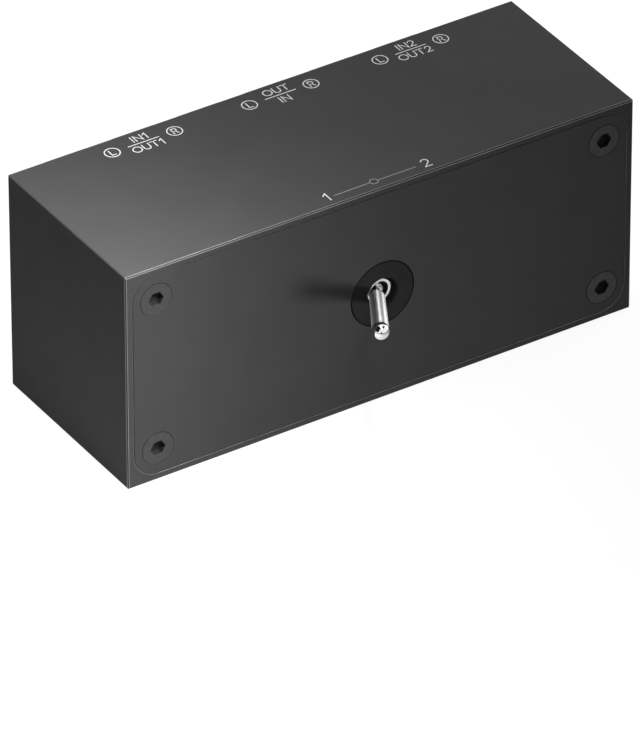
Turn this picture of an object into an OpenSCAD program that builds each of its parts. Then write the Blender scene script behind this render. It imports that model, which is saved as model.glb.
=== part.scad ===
// Speaker selector switch: a toggle on the front sends one stereo pair of speaker terminals
// to either of two others. Twelve spring levers at the rear hold the speaker wires.
// Origin: centre of the enclosure's bottom face. +X right seen from the front, +Y to the rear, +Z up.
// Millimetres.

/* [Enclosure] */
// Width of the enclosure, left to right
box_w = 100; // [97:0.5:130]
// Depth of the enclosure, front face to rear face
box_d = 37; // [35:0.5:60]
// Height of the enclosure
box_h = 42; // [40:0.5:60]
// Wall of the extruded sleeve
sleeve_wall = 1.3; // [1:0.1:1.6]
// Rounding of the sleeve's long outer edges
edge_r = 0.4; // [0.2:0.1:0.9]
// Chamfer on the outer edges of the sleeve's two ends
end_chamfer = 0.25; // [0.1:0.05:0.4]
// Inner corner radius of the sleeve
inner_r = 4.7; // [3:0.1:6]
// Radius of the screw bosses that run along inside the sleeve
boss_r = 3; // [2.5:0.1:3.1]
// Thickness of the webs that join the bosses to the walls
web_t = 2.4; // [1.6:0.1:4]

/* [Panels] */
// Thickness of the front panel
front_t = 2; // [1.7:0.1:2.5]
// Thickness of the rear panel
rear_t = 2; // [1.7:0.1:2.5]
// Gap between a panel and the sleeve
panel_gap = 0.1; // [0.05:0.05:0.3]
// Distance of the front screws from the enclosure's sides
front_screw_x = 5.9; // [5.5:0.1:7]
// Distance of the front screws from the enclosure's top and bottom
front_screw_z = 6.25; // [5.6:0.05:7]
// Corner radius of the cut-out in the rear panel
cutout_r = 1.8; // [0.5:0.1:3]
// Distance of the cut-out's edges from the enclosure's top and bottom
cutout_rim = 3.55; // [3.3:0.05:5]
// Gap between the terminal block and the ends of the cut-out
cutout_gap = 0.25; // [0.1:0.05:0.4]

/* [Screws] */
// Diameter of the screw threads
screw_d = 3; // [2.5:0.1:3]
// Diameter of the countersunk heads
head_d = 6.1; // [5.6:0.1:6.2]
// Width across the flats of the hexagon sockets
hex_af = 2.5; // [1.8:0.1:2.6]
// Depth of the hexagon sockets
hex_depth = 1.2; // [0.8:0.1:1.5]
// Length of the front screws, head included
front_screw_l = 8; // [6:0.5:12]
// Length of the rear screws, head included
rear_screw_l = 10; // [8:0.5:14]

/* [Toggle switch] */
// Diameter of the flush bezel
bezel_d = 12.2; // [11:0.1:14]
// Thickness of the bezel's flange
bezel_t = 1; // [0.8:0.1:1.2]
// Diameter of the recess in the bezel's face
bezel_hole_d = 5.9; // [5.4:0.1:6.4]
// Diameter of the hole in that recess's floor
bezel_floor_d = 5; // [4.9:0.05:5.3]
// Diameter of the bezel's barrel, which passes through the panel
barrel_d = 8; // [7.4:0.1:9]
// Gap between the bezel and its recess in the panel
bezel_gap = 0.15; // [0.05:0.05:0.3]
// Depth of the bushing's rim below the front face
rim_depth = 0.9; // [0.6:0.1:1]
// How far that rim stands above the floor of the bezel's recess
rim_proud = 0.1; // [0.05:0.05:0.15]
// Outer diameter of the bushing's rim
rim_d = 4.76; // [4.4:0.02:4.8]
// Inner diameter of the bushing's rim
rim_hole_d = 3.5; // [3.45:0.05:3.7]
// Length of the narrow rim
rim_l = 0.4; // [0.3:0.05:0.5]
// Thickness of the bushing's end wall below the narrow rim
rim_wall = 0.2; // [0.1:0.05:0.25]
// Diameter of the bushing's thread
bushing_d = 6; // [5.8:0.1:6.2]
// Length of the bushing, rim to switch frame
bushing_l = 8.9; // [8.5:0.1:12]
// Diameter of the bushing's bore
bushing_bore_d = 4; // [3.9:0.1:4.4]
// Diameter of the bushing's foot
foot_d = 8.4; // [7:0.1:11]
// Thickness of the bushing's foot
foot_t = 0.8; // [0.5:0.1:1.2]
// Thickness of the lock washer
washer_t = 0.5; // [0.3:0.1:0.8]
// Diameter of the lock washer
washer_d = 11; // [9:0.5:14]
// Width across the flats of the back nut
nut_af = 8; // [7.8:0.1:10]
// Thickness of the back nut
nut_t = 2; // [1.5:0.1:2.5]
// Thickness of the switch frame's sheet
frame_t = 0.6; // [0.4:0.1:0.8]
// Length of the frame's side flanges
flange_l = 6.5; // [3:0.5:8]
// Share of the body's height that the side flanges cover
flange_share = 0.8; // [0.5:0.05:0.95]
// Width of the switch body, across the lever's swing
body_w = 13.2; // [12.4:0.1:16]
// Height of the switch body, along its row of poles
body_h = 22.6; // [19:0.2:26]
// Depth of the switch body
body_l = 8.6; // [8:0.1:9]
// Depth of the base, which stands a little proud behind the frame's flanges
base_l = 1.2; // [0.8:0.1:1.8]

/* [Toggle lever] */
// Depth of the lever's pivot below the bushing's rim
pivot_depth = 1.05; // [1:0.05:1.1]
// Tilt of the lever at each end of its travel
toggle_tilt = 29.5; // [15:0.5:30]
// Distance from the pivot to the centre of the ball tip
toggle_l = 12.75; // [10:0.05:16]
// Diameter of the ball tip
tip_d = 3.05; // [2.95:0.05:4]
// Diameter of the lever just under the tip
bat_d = 2.9; // [2.7:0.02:2.9]
// Diameter of the lever's root, just outside the bushing
root_d = 2.64; // [2.2:0.02:2.7]
// Distance of that root from the pivot
root_l = 2.9; // [2.7:0.1:3.5]
// Diameter of the lever's neck, which passes through the rim
neck_d = 1.8; // [1.4:0.05:1.85]
// Length of the neck, from the pivot
neck_l = 1.8; // [1.7:0.05:2]
// Diameter of the pivot ball
pivot_ball_d = 2.3; // [2:0.1:2.6]
// Diameter of the tail
tail_d = 1.1; // [0.8:0.05:1.1]
// Length of the tail below the pivot
tail_l = 1.9; // [1.5:0.1:2]
// Diameter of the ball at the tail's end
tail_ball_d = 1.3; // [1.1:0.1:1.4]
// Diameter of the cross pin
cross_pin_d = 0.8; // [0.6:0.05:0.85]
// How far the ends of the cross pin and of the hinge rods lie below the surface
pin_inset = 0.2; // [0.1:0.05:0.3]
// Length of the detent plunger
plunger_l = 2.8; // [2:0.1:3.2]
// Wire diameter of the detent spring
detent_wire = 0.5; // [0.3:0.05:0.6]
// Radial gap between the detent spring and the bore
detent_gap = 0.3; // [0.2:0.05:0.4]

/* [Terminal block] */
// Spacing of the terminal columns
column_pitch = 13.1; // [12.5:0.1:13.2]
// How far the block stands out of the rear face
block_out = 7.5; // [7:0.1:7.7]
// Radius of the block's curved shoulders
shoulder_r = 8; // [7.8:0.1:8.3]
// Half the distance between the shoulders' centres
shoulder_v = 5.2; // [5:0.1:5.4]
// Depth of the block's inner end, cover plate included, below the rear face
block_in = 7.5; // [7.3:0.1:8.5]
// Thickness of the cover plate on the cells
cover_t = 1; // [0.6:0.1:1.2]
// Thickness of the end walls of the block
end_wall = 1.25; // [1:0.05:1.4]
// Width of each lever's cell and slot
cell_w = 8.4; // [8.3:0.05:9]
// Thickness of the block's front wall
face_wall = 2.4; // [2:0.1:2.5]
// Half thickness of the web between the upper and lower cells
mid_web = 1.1; // [0.8:0.05:1.2]
// Thickness of the roof behind the slots
roof_t = 1; // [0.8:0.1:1.3]
// Distance of the slot's rear edge from the rear face
slot_back = 0.3; // [0:0.1:0.8]
// Thickness of the flange behind the rear panel
block_flange_t = 2.5; // [1.5:0.1:3]
// Distance of the flange's edges from the enclosure's top and bottom
block_flange_rim = 2.6; // [1.6:0.1:3]
// Overlap of the flange past the ends of the cut-out
block_flange_lap = 1.75; // [1:0.05:1.9]
// Height of the flange's screw ears
ear_h = 12; // [8:0.5:16]
// Distance of the rear screws from the ends of the cut-out
rear_screw_edge = 3.25; // [3.25:0.05:3.4]

/* [Wire entries] */
// Diameter of the wire holes
wire_hole_d = 4.4; // [3.5:0.1:4.6]
// Distance of the wire holes from the block's middle
wire_hole_v = 3.85; // [3.7:0.05:4]
// Width of the funnels
funnel_w = 8; // [6:0.1:9]
// Height of the funnels
funnel_h = 6.15; // [5.4:0.05:6.4]
// Depth of the funnels
funnel_depth = 1; // [0.6:0.1:1.2]
// Radial step between the funnel's round end and the wire hole
funnel_step = 0.1; // [0.05:0.05:0.2]

/* [Spring levers] */
// Width of each lever
lever_w = 8; // [7:0.1:8.1]
// Distance of the lever rods from the rear face, inwards
rod_in = 3; // [2.8:0.1:3.2]
// Distance of the lever rods from the block's middle
rod_v = 5.2; // [5:0.1:5.4]
// Diameter of the lever rods
rod_d = 1.6; // [1.2:0.1:1.8]
// Diameter of the lever's hub
hub_d = 3.6; // [3:0.1:3.8]
// Radius of the rounded lip
lip_r = 0.68; // [0.5:0.02:0.8]
// Number of ribs on the finger grip
grip_ribs = 6; // [4:1:8]
// Height of those ribs
rib_h = 0.36; // [0.15:0.01:0.4]
// Radius of the hollow finger grip
grip_r = 5.1; // [4.8:0.1:5.4]
// Gap between a lever's neck and the block's front wall
neck_gap = 0.8; // [0.6:0.05:1]
// Length of the jaw behind the front wall, back to where the wire's room begins
jaw_l = 1.7; // [1.2:0.1:2.2]
// Gap between the jaw and the contact strip when closed
jaw_gap = 0.35; // [0.2:0.05:0.5]
// Thickness of the jaw's edge
jaw_t = 1; // [0.6:0.1:1.4]
// Swing of a lever when pressed
lever_swing = 12; // [6:1:12]

/* [Contacts and springs] */
// Thickness of the contact strips
strip_t = 0.5; // [0.3:0.05:0.6]
// Width of the contact strips
strip_w = 6; // [4:0.5:7.5]
// Height of the tab at the strip's inner end
strip_tab_h = 2.2; // [1.8:0.1:2.3]
// Diameter of the terminal pins
pin_d = 0.8; // [0.6:0.05:0.9]
// Distance of the terminal pins from the block's middle
pin_v = 2.25; // [2:0.05:2.4]
// Wire diameter of the lever springs
spring_wire = 0.5; // [0.3:0.05:0.55]
// Width of the lever springs' coils
spring_w = 2.6; // [2:0.1:2.8]
// Radial gap between the coils and the rod
coil_gap = 0.15; // [0.1:0.05:0.2]
// Length of the leg that lies over the lever's arm
spring_leg = 4.2; // [3:0.1:4.4]
// Width of the gap for the coil between the hub's cheeks
spring_room = 3.4; // [3.2:0.1:4]
// How far that gap is cut past the hub's radius
spring_room_lap = 0.5; // [0.4:0.05:0.6]

/* [Circuit board] */
// Thickness of the circuit board
board_t = 1.6; // [1:0.2:2]
// Width of the circuit board
board_w = 75; // [68:0.5:76]
// Height of the circuit board
board_h = 26; // [18:0.5:34]
// Distance of the board's rear side from the rear face
board_in = 11.4; // [10.5:0.1:12.5]
// Spacing of the switch pins across the lever's swing
pole_x = 4.7; // [4:0.05:4.75]
// Spacing of the switch pins along the row of poles
pole_z = 4.8; // [4.2:0.05:5.2]
// How far the pins stand through the board
pin_through = 0.8; // [0.5:0.1:1.2]
// Radius of a solder joint's foot
solder_r = 0.95; // [0.7:0.05:1]
// Height of a solder joint
solder_h = 0.55; // [0.3:0.05:0.6]
// Thickness of the solder round the pin at the joint's top
solder_top = 0.1; // [0.05:0.05:0.15]

/* [Fits] */
// Radial gap between a thread and the hole that it is in
thread_gap = 0.03; // [0.01:0.01:0.06]
// Radial gap round a pin that is pressed in or soldered
press_gap = 0.01; // [0.005:0.005:0.02]
// Radial gap at the hinge pins
hinge_gap = 0.05; // [0.03:0.01:0.08]
// Radial gap of a clearance hole
hole_gap = 0.2; // [0.1:0.05:0.3]
// Gap between a screw's head and its countersink
head_gap = 0.08; // [0.04:0.02:0.1]
// Gap between pieces laid against each other
lay_gap = 0.05; // [0.03:0.01:0.08]

/* [Hidden] */
$fn = 48;
cut = 1;                // how far a cutting solid runs past what it cuts
columns = 6;            // the two stereo sources and the output, left and right each
pole_rows = 4;          // left and right, plus and minus
mid_z = box_h / 2;
front_y = -box_d / 2;
rear_y = box_d / 2;

black = "#2b2b2d";
plastic_black = "#333335";
red = "#c8283c";
chrome = "#d8d8dc";
tin = "#c9c9c4";
brass = "#b59a5a";
steel = "#8d8f94";
board_green = "#1e5b3a";
phenolic = "#5a2020";
fibre = "#3a332b";

function column_x(i) = (i - (columns - 1) / 2) * column_pitch;
function polar(r, a) = [r * cos(a), r * sin(a)];

// Block width and what follows from it
block_w = (columns - 1) * column_pitch + cell_w + 2 * end_wall;
block_v = shoulder_v + shoulder_r;
cutout_w = block_w + 2 * cutout_gap;
cutout_h = box_h - 2 * cutout_rim;
block_flange_h = box_h - 2 * block_flange_rim;
rear_screw_x = cutout_w / 2 + rear_screw_edge;
cell_back = block_in - cover_t;

// Depths along the switch, measured from the front face inwards
pivot_in = rim_depth + pivot_depth;
thread_in = rim_depth + rim_l;
floor_in = rim_depth + rim_proud;
frame_in = rim_depth + bushing_l;
body_in = frame_in + frame_t;
body_end = body_in + body_l;
plunger_in = pivot_in + tail_l + tail_ball_d / 2 + 2 * lay_gap;

// Outline of a spring lever in (outwards, upwards) from the middle of the rear face
pivot_uv = [-rod_in, rod_v];
tab_back = [3.2, 12.7];
tab_crease = [6.3, 11.9];
tab_waist = [2.5, 10.2];
tab_root = [1.8, 8.6];
arm_slope = 27;         // slope of the arm's upper side, hub to tab root
lip_centre = [9.55, 12.75];
lip_start = 112;        // angle on the lip at which the tab's upper side meets it
grip_foot = [7.4, 8.3];
grip_centre = [grip_foot.x + grip_r, grip_foot.y];
grip_sweep = 47;        // angle of the hollow grip's arc
neck_u = block_out - face_wall - neck_gap;
jaw_v = mid_web + lay_gap + strip_t + jaw_gap;
jaw_root_v = pivot_uv.y - 0.8;      // height at which the jaw's rear side meets the arm
arm_low = pivot_uv + [1, -1.2];     // where the arm's two sides leave the hub
arm_high = pivot_uv + [1, 1.5];
groove = 0.3;           // half height and depth of the groove across the jaw
groove_v = jaw_v + 3 * groove;

// ---------- helpers ----------

// Rectangle with round corners, centred
module round_rect(w, h, r) {
    square([w, h - 2 * r], center = true);
    square([w - 2 * r, h], center = true);
    for (x = [-1, 1], y = [-1, 1])
        translate([x * (w / 2 - r), y * (h / 2 - r)]) circle(r);
}

// Stands a drawing made in (X, Z) on its plane and gives it depth from y0 to y1
module along_y(y0, y1) {
    translate([0, y1, mid_z]) rotate([90, 0, 0]) linear_extrude(y1 - y0) children();
}

// Local +Z points out of the front face, with the face at z = 0
module on_front(x = 0, z = 0) {
    translate([x, front_y, mid_z + z]) rotate([90, 0, 0]) children();
}

// Local +Z points out of the rear face, with the face at z = 0
module on_rear(x = 0, z = 0) {
    translate([x, rear_y, mid_z + z]) rotate([-90, 0, 0]) children();
}

// Gives a drawing made in (outwards, upwards) from the middle of the rear face a width in X
module across(w, x = 0) {
    translate([x - w / 2, rear_y, mid_z]) rotate([90, 0, 90]) linear_extrude(w) children();
}

// A cylinder across the block at a point of that drawing
module cross_cylinder(p, r, w, x = 0) {
    across(w, x) translate(p) circle(r);
}

// The upper half as drawn, or its mirror image below
module lower() {
    translate([0, 0, mid_z]) mirror([0, 0, 1]) translate([0, 0, -mid_z]) children();
}

module tube(r_out, r_in, z0, z1) {
    translate([0, 0, z0]) difference() {
        cylinder(r = r_out, h = z1 - z0);
        translate([0, 0, -cut]) cylinder(r = r_in, h = z1 - z0 + 2 * cut);
    }
}

// ---------- enclosure ----------

// Bars that take the chamfer off the sleeve's ends
module end_edges() {
    s = end_chamfer * sqrt(2);
    for (y = [front_y, rear_y]) {
        for (z = [0, box_h])
            translate([0, y, z]) rotate([45, 0, 0]) cube([box_w + 2 * cut, s, s], center = true);
        for (x = [-1, 1])
            translate([x * box_w / 2, y, mid_z]) rotate(45) cube([s, s, box_h + 2 * cut], center = true);
    }
}

front_screws_xz = [for (x = [-1, 1], z = [-1, 1])
    [x * (box_w / 2 - front_screw_x), z * (box_h / 2 - front_screw_z)]];

module sleeve_section() {
    difference() {
        round_rect(box_w, box_h, edge_r);
        round_rect(box_w - 2 * sleeve_wall, box_h - 2 * sleeve_wall, inner_r);
    }
}

// One corner boss with its webs to the side wall and to the top or bottom wall
module corner_boss() {
    x = box_w / 2 - front_screw_x;
    z = box_h / 2 - front_screw_z;
    translate([x, z]) circle(boss_r);
    translate([x, z - web_t / 2]) square([box_w / 2 - sleeve_wall / 2 - x, web_t]);
    translate([x - web_t / 2, z]) square([web_t, box_h / 2 - sleeve_wall / 2 - z]);
}

module side_boss() {
    translate([rear_screw_x, 0]) circle(boss_r);
    translate([rear_screw_x, -web_t / 2])
        square([box_w / 2 - sleeve_wall / 2 - rear_screw_x, web_t]);
}

module enclosure_sleeve() color(black) difference() {
    union() {
        along_y(front_y, rear_y) sleeve_section();
        along_y(front_y + front_t, rear_y - rear_t)
            for (x = [0, 1], z = [0, 1]) mirror([x, 0]) mirror([0, z]) corner_boss();
        along_y(front_y + front_t, rear_y - rear_t - block_flange_t)
            for (x = [0, 1]) mirror([x, 0]) side_boss();
    }
    for (p = front_screws_xz) on_front(p.x, p.y)
        translate([0, 0, -front_screw_l - cut])
            cylinder(r = screw_d / 2 + thread_gap, h = front_screw_l + 2 * cut);
    for (x = [-1, 1]) on_rear(x * rear_screw_x)
        translate([0, 0, -rear_screw_l - cut])
            cylinder(r = screw_d / 2 + thread_gap, h = rear_screw_l + 2 * cut);
    end_edges();
}

module panel_outline() {
    round_rect(box_w - 2 * (sleeve_wall + panel_gap), box_h - 2 * (sleeve_wall + panel_gap),
        inner_r - panel_gap);
}

// Countersink and through hole, open at local z = 0
module countersink(t) {
    r = head_d / 2 + head_gap;
    shaft = screw_d / 2 + hole_gap;
    translate([0, 0, -(r - shaft)]) cylinder(r1 = shaft, r2 = r, h = r - shaft);
    translate([0, 0, -t - cut]) cylinder(r = shaft, h = t + cut);
    cylinder(r = r, h = cut);
}

module front_panel() color(black) difference() {
    along_y(front_y, front_y + front_t) panel_outline();
    for (p = front_screws_xz) on_front(p.x, p.y) countersink(front_t);
    on_front() {
        translate([0, 0, -bezel_t]) cylinder(r = bezel_d / 2 + bezel_gap, h = bezel_t + cut);
        translate([0, 0, -front_t - cut]) cylinder(r = barrel_d / 2 + bezel_gap, h = front_t + 2 * cut);
    }
}

module rear_panel() color(black) difference() {
    along_y(rear_y - rear_t, rear_y) difference() {
        panel_outline();
        round_rect(cutout_w, cutout_h, cutout_r);
    }
    for (x = [-1, 1]) on_rear(x * rear_screw_x) countersink(rear_t);
}

// Countersunk screw with a hexagon socket, its face at local z = 0
module screw(l) {
    head = head_d / 2;
    cone = head - screw_d / 2;
    difference() {
        union() {
            translate([0, 0, -cone]) cylinder(r1 = screw_d / 2, r2 = head, h = cone);
            translate([0, 0, -l]) cylinder(d = screw_d, h = l - cone);
        }
        translate([0, 0, -hex_depth]) cylinder(d = hex_af / cos(30), h = hex_depth + cut, $fn = 6);
    }
}

module front_screws() color(black) for (p = front_screws_xz) on_front(p.x, p.y) screw(front_screw_l);

module rear_screws() color(black) for (x = [-1, 1]) on_rear(x * rear_screw_x) screw(rear_screw_l);

// ---------- toggle switch ----------

module switch_bezel() color(black) on_front() difference() {
    union() {
        translate([0, 0, -bezel_t]) cylinder(d = bezel_d, h = bezel_t);
        translate([0, 0, -front_t]) cylinder(d = barrel_d, h = front_t);
    }
    translate([0, 0, -floor_in]) cylinder(d = bezel_hole_d, h = floor_in + cut);
    translate([0, 0, -front_t]) cylinder(d = bezel_floor_d, h = front_t);
    translate([0, 0, -front_t - cut])
        cylinder(r = bushing_d / 2 + thread_gap, h = front_t + cut - thread_in + lay_gap);
}

module switch_bushing() color(chrome) on_front() difference() {
    union() {
        translate([0, 0, -thread_in]) cylinder(d = rim_d, h = rim_l);
        translate([0, 0, -frame_in]) cylinder(d = bushing_d, h = frame_in - thread_in);
        translate([0, 0, -frame_in]) cylinder(d = foot_d, h = foot_t);
    }
    translate([0, 0, -frame_in - cut]) cylinder(d = rim_hole_d, h = frame_in + cut);
    translate([0, 0, -frame_in - cut])
        cylinder(d = bushing_bore_d, h = bushing_l - rim_l - rim_wall + cut);
    translate([0, 0, -pivot_in]) rotate([90, 0, 0])
        cylinder(r = cross_pin_d / 2 + press_gap, h = bushing_d + cut, center = true);
}

module lock_washer() color(steel) on_front()
    tube(washer_d / 2, bushing_d / 2 + hole_gap, -front_t - washer_t, -front_t);

module back_nut() color(chrome) on_front() difference() {
    translate([0, 0, -front_t - washer_t - nut_t]) cylinder(d = nut_af / cos(30), h = nut_t, $fn = 6);
    translate([0, 0, -front_t - washer_t - nut_t - cut])
        cylinder(r = bushing_d / 2 + thread_gap, h = nut_t + 2 * cut);
}

module switch_frame() color(steel) on_front() difference() {
    union() {
        translate([-body_w / 2 - frame_t, -body_h / 2, -body_in])
            cube([body_w + 2 * frame_t, body_h, frame_t]);
        for (x = [-1, 1])
            translate([x * (body_w + frame_t) / 2, 0, -frame_in - flange_l / 2])
                cube([frame_t, body_h * flange_share, flange_l], center = true);
    }
    translate([0, 0, -body_in - cut]) cylinder(d = bushing_bore_d, h = frame_t + 2 * cut);
}

module switch_body() color(phenolic) on_front() {
    translate([-body_w / 2 + lay_gap, -body_h / 2, -body_end])
        cube([body_w - 2 * lay_gap, body_h, body_l]);
    translate([-body_w / 2 - frame_t, -body_h / 2, -body_end])
        cube([body_w + 2 * frame_t, body_h, base_l]);
}

function switch_pins_xz() = [for (c = [-1:1], r = [0:pole_rows - 1])
    [c * pole_x, (r - (pole_rows - 1) / 2) * pole_z]];

module switch_pins() color(tin) for (p = switch_pins_xz())
    along_y(front_y + body_end, rear_y - board_in + pin_through) translate(p) circle(d = pin_d);

module toggle_lever() color(chrome)
    translate([0, front_y + pivot_in, mid_z]) rotate([0, 0, -toggle_tilt]) rotate([90, 0, 0])
        difference() {
            union() {
                cylinder(d = neck_d, h = neck_l);
                translate([0, 0, neck_l]) cylinder(d1 = neck_d, d2 = root_d, h = root_l - neck_l);
                translate([0, 0, root_l]) cylinder(d1 = root_d, d2 = bat_d, h = toggle_l - root_l);
                translate([0, 0, toggle_l]) sphere(d = tip_d);
                sphere(d = pivot_ball_d);
                translate([0, 0, -tail_l]) cylinder(d = tail_d, h = tail_l);
                translate([0, 0, -tail_l]) sphere(d = tail_ball_d);
            }
            rotate([90, 0, 0])
                cylinder(r = cross_pin_d / 2 + hinge_gap, h = pivot_ball_d + cut, center = true);
        }

module toggle_pin() color(steel) translate([0, front_y + pivot_in, mid_z])
    cylinder(d = cross_pin_d, h = bushing_d - 2 * pin_inset, center = true);

module detent_plunger() color(plastic_black) on_front()
    translate([0, 0, -plunger_in - plunger_l])
        cylinder(r = bushing_bore_d / 2 - hinge_gap, h = plunger_l);

module detent_spring() color(steel) on_front()
    tube(bushing_bore_d / 2 - detent_gap, bushing_bore_d / 2 - detent_gap - detent_wire,
        -body_in, -plunger_in - plunger_l);

// ---------- circuit board ----------

terminal_pins_xz = [for (i = [0:columns - 1], s = [-1, 1]) [column_x(i), s * pin_v]];

module circuit_board() color(board_green)
    along_y(rear_y - board_in - board_t, rear_y - board_in) difference() {
        square([board_w, board_h], center = true);
        for (p = concat(terminal_pins_xz, switch_pins_xz()))
            translate(p) circle(r = pin_d / 2 + lay_gap);
    }

module solder_cone() difference() {
    cylinder(r1 = solder_r, r2 = pin_d / 2 + solder_top, h = solder_h);
    translate([0, 0, -cut]) cylinder(r = pin_d / 2 + press_gap, h = solder_h + 2 * cut);
}

// The switch's pins are soldered on the board's rear side, the terminals' on its front side
module solder_joints() color(tin) {
    for (p = switch_pins_xz()) on_rear(p.x, p.y) translate([0, 0, -board_in]) solder_cone();
    for (p = terminal_pins_xz) on_front(p.x, p.y)
        translate([0, 0, -(box_d - board_in - board_t)]) solder_cone();
}

// ---------- terminal block ----------

module block_section() {
    translate([-cell_back, -block_v]) square([cell_back, 2 * block_v]);
    intersection() {
        union() {
            translate([-cut, -shoulder_v]) square([block_out + 2 * cut, 2 * shoulder_v]);
            for (s = [-1, 1]) translate([0, s * shoulder_v]) circle(shoulder_r, $fn = 96);
        }
        translate([-cut, -block_v]) square([block_out + cut, 2 * block_v]);
    }
}

// The room for one upper lever: open over the shoulder, closed by a roof behind the slot
cell_top = shoulder_v + sqrt(pow(shoulder_r, 2) - pow(block_out, 2));
module cell_section() polygon([
    [slot_back, block_v + cut], [block_out + cut, block_v + cut], [block_out + cut, cell_top],
    [block_out - face_wall, cell_top], [block_out - face_wall, mid_web],
    [-cell_back - cut, mid_web], [-cell_back - cut, block_v - roof_t],
    [slot_back, block_v - roof_t]]);

// Square-to-round funnel: each corner fans out to a quarter of the round end
module funnel() {
    n = 6;
    r = wire_hole_d / 2 + funnel_step;
    top = [for (c = [[1, 1], [-1, 1], [-1, -1], [1, -1]]) [c.x * funnel_w / 2, c.y * funnel_h / 2, 0]];
    lid = [for (p = top) [p.x, p.y, cut]];
    ring = [for (i = [0:4 * n - 1]) concat(polar(r, i * 90 / n), -funnel_depth)];
    last = 4 * n;
    polyhedron(
        points = concat(top, ring, lid),
        faces = concat(
            [for (q = [0:3], i = [0:n - 1]) [q, 4 + (q * n + i + 1) % last, 4 + q * n + i]],
            [for (q = [0:3]) [q, (q + 1) % 4, 4 + ((q + 1) * n) % last]],
            [[for (i = [0:last - 1]) 4 + i]],
            [for (q = [0:3]) [q, last + 4 + q, last + 4 + (q + 1) % 4, (q + 1) % 4]],
            [[for (q = [3:-1:0]) last + 4 + q]]));
}

module wire_entry(x, v) on_rear(x, v) {
    translate([0, 0, block_out]) funnel();
    translate([0, 0, block_out - face_wall - cut])
        cylinder(d = wire_hole_d, h = face_wall + cut - funnel_depth / 2);
}

module flange_outline() {
    square([cutout_w + 2 * block_flange_lap, block_flange_h], center = true);
    square([2 * (rear_screw_x + boss_r), ear_h], center = true);
}

module terminal_block() color(plastic_black) difference() {
    union() {
        across(block_w) block_section();
        along_y(rear_y - rear_t - block_flange_t, rear_y - rear_t) flange_outline();
    }
    for (i = [0:columns - 1]) {
        across(cell_w, column_x(i)) cell_section();
        lower() across(cell_w, column_x(i)) cell_section();
        for (s = [-1, 1]) wire_entry(column_x(i), s * wire_hole_v);
    }
    cross_cylinder(pivot_uv, rod_d / 2 + lay_gap / 2, block_w + 2 * cut);
    lower() cross_cylinder(pivot_uv, rod_d / 2 + lay_gap / 2, block_w + 2 * cut);
    for (x = [-1, 1]) on_rear(x * rear_screw_x)
        translate([0, 0, -rear_t - block_flange_t - cut])
            cylinder(r = screw_d / 2 + hole_gap, h = block_flange_t + 2 * cut);
}

module terminal_back_plate() color(fibre)
    along_y(rear_y - block_in, rear_y - cell_back) difference() {
        square([block_w, 2 * block_v], center = true);
        for (p = terminal_pins_xz) translate(p) circle(r = pin_d / 2 + lay_gap);
    }

module hinge_rod() color(steel) cross_cylinder(pivot_uv, rod_d / 2, block_w - 2 * pin_inset);

module upper_hinge_rod() hinge_rod();

module lower_hinge_rod() lower() hinge_rod();

// ---------- spring levers ----------

module lever_outline() {
    steps = 2 * grip_ribs;
    grip = [for (i = [0:steps]) grip_centre
        + polar(grip_r - (i % 2) * rib_h, 180 - grip_sweep * (1 - i / steps))];
    polygon(concat(
        [tab_back, tab_crease, lip_centre + polar(lip_r, lip_start), lip_centre],
        grip,
        [[neck_u, grip_foot.y],
            [neck_u, groove_v + groove], [neck_u - groove, groove_v], [neck_u, groove_v - groove],
            [neck_u, jaw_v], [neck_u - jaw_t, jaw_v],
            [neck_u - jaw_l, jaw_root_v], arm_low, arm_high, tab_root, tab_waist]));
}

module spring_lever(i) difference() {
    union() {
        across(lever_w, column_x(i)) lever_outline();
        cross_cylinder(lip_centre, lip_r, lever_w, column_x(i));
        cross_cylinder(pivot_uv, hub_d / 2, lever_w, column_x(i));
    }
    cross_cylinder(pivot_uv, rod_d / 2 + hinge_gap, lever_w + 2 * cut, column_x(i));
    cross_cylinder(pivot_uv, hub_d / 2 + spring_room_lap, spring_room, column_x(i));
}

module red_lever(i) color(red) spring_lever(i);

module black_lever(i) color(plastic_black) lower() spring_lever(i);

// ---------- contacts and springs ----------

// The strip lies on the middle web; its tab carries the pin that goes to the board
module contact_strip(i) color(tin) {
    floor_v = mid_web + lay_gap;
    across(strip_w, column_x(i)) {
        translate([-cell_back + lay_gap, floor_v])
            square([cell_back + block_out - face_wall - 2 * lay_gap, strip_t]);
        translate([-cell_back + lay_gap, floor_v]) square([strip_t, strip_tab_h]);
    }
    on_rear(column_x(i), pin_v) translate([0, 0, -board_in - board_t - pin_through])
        cylinder(d = pin_d, h = board_in + board_t + pin_through - cell_back + strip_t);
}

module upper_contact_strips() for (i = [0:columns - 1]) contact_strip(i);

module lower_contact_strips() lower() upper_contact_strips();

// Torsion spring on the rod: one leg bears on the cover plate, the other lies over the lever's
// arm, drawn where it is when the lever is pressed
module lever_spring(i) color(steel) {
    coil_r = rod_d / 2 + coil_gap + spring_wire / 2;
    arm_a = arm_slope + lever_swing;
    across(spring_w, column_x(i)) translate(pivot_uv) difference() {
        circle(coil_r + spring_wire / 2);
        circle(coil_r - spring_wire / 2);
    }
    across(spring_wire, column_x(i) - (spring_w - spring_wire) / 2)
        translate(pivot_uv + [0, coil_r - spring_wire / 2])
            translate([-cell_back + rod_in + lay_gap, 0]) square([cell_back - rod_in, spring_wire]);
    across(spring_wire, column_x(i) + (spring_w - spring_wire) / 2)
        translate(pivot_uv) rotate(arm_a) translate([0, coil_r - spring_wire / 2])
            square([spring_leg, spring_wire]);
}

module red_lever_springs() for (i = [0:columns - 1]) lever_spring(i);

module black_lever_springs() lower() red_lever_springs();

// ---------- the pieces ----------

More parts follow.
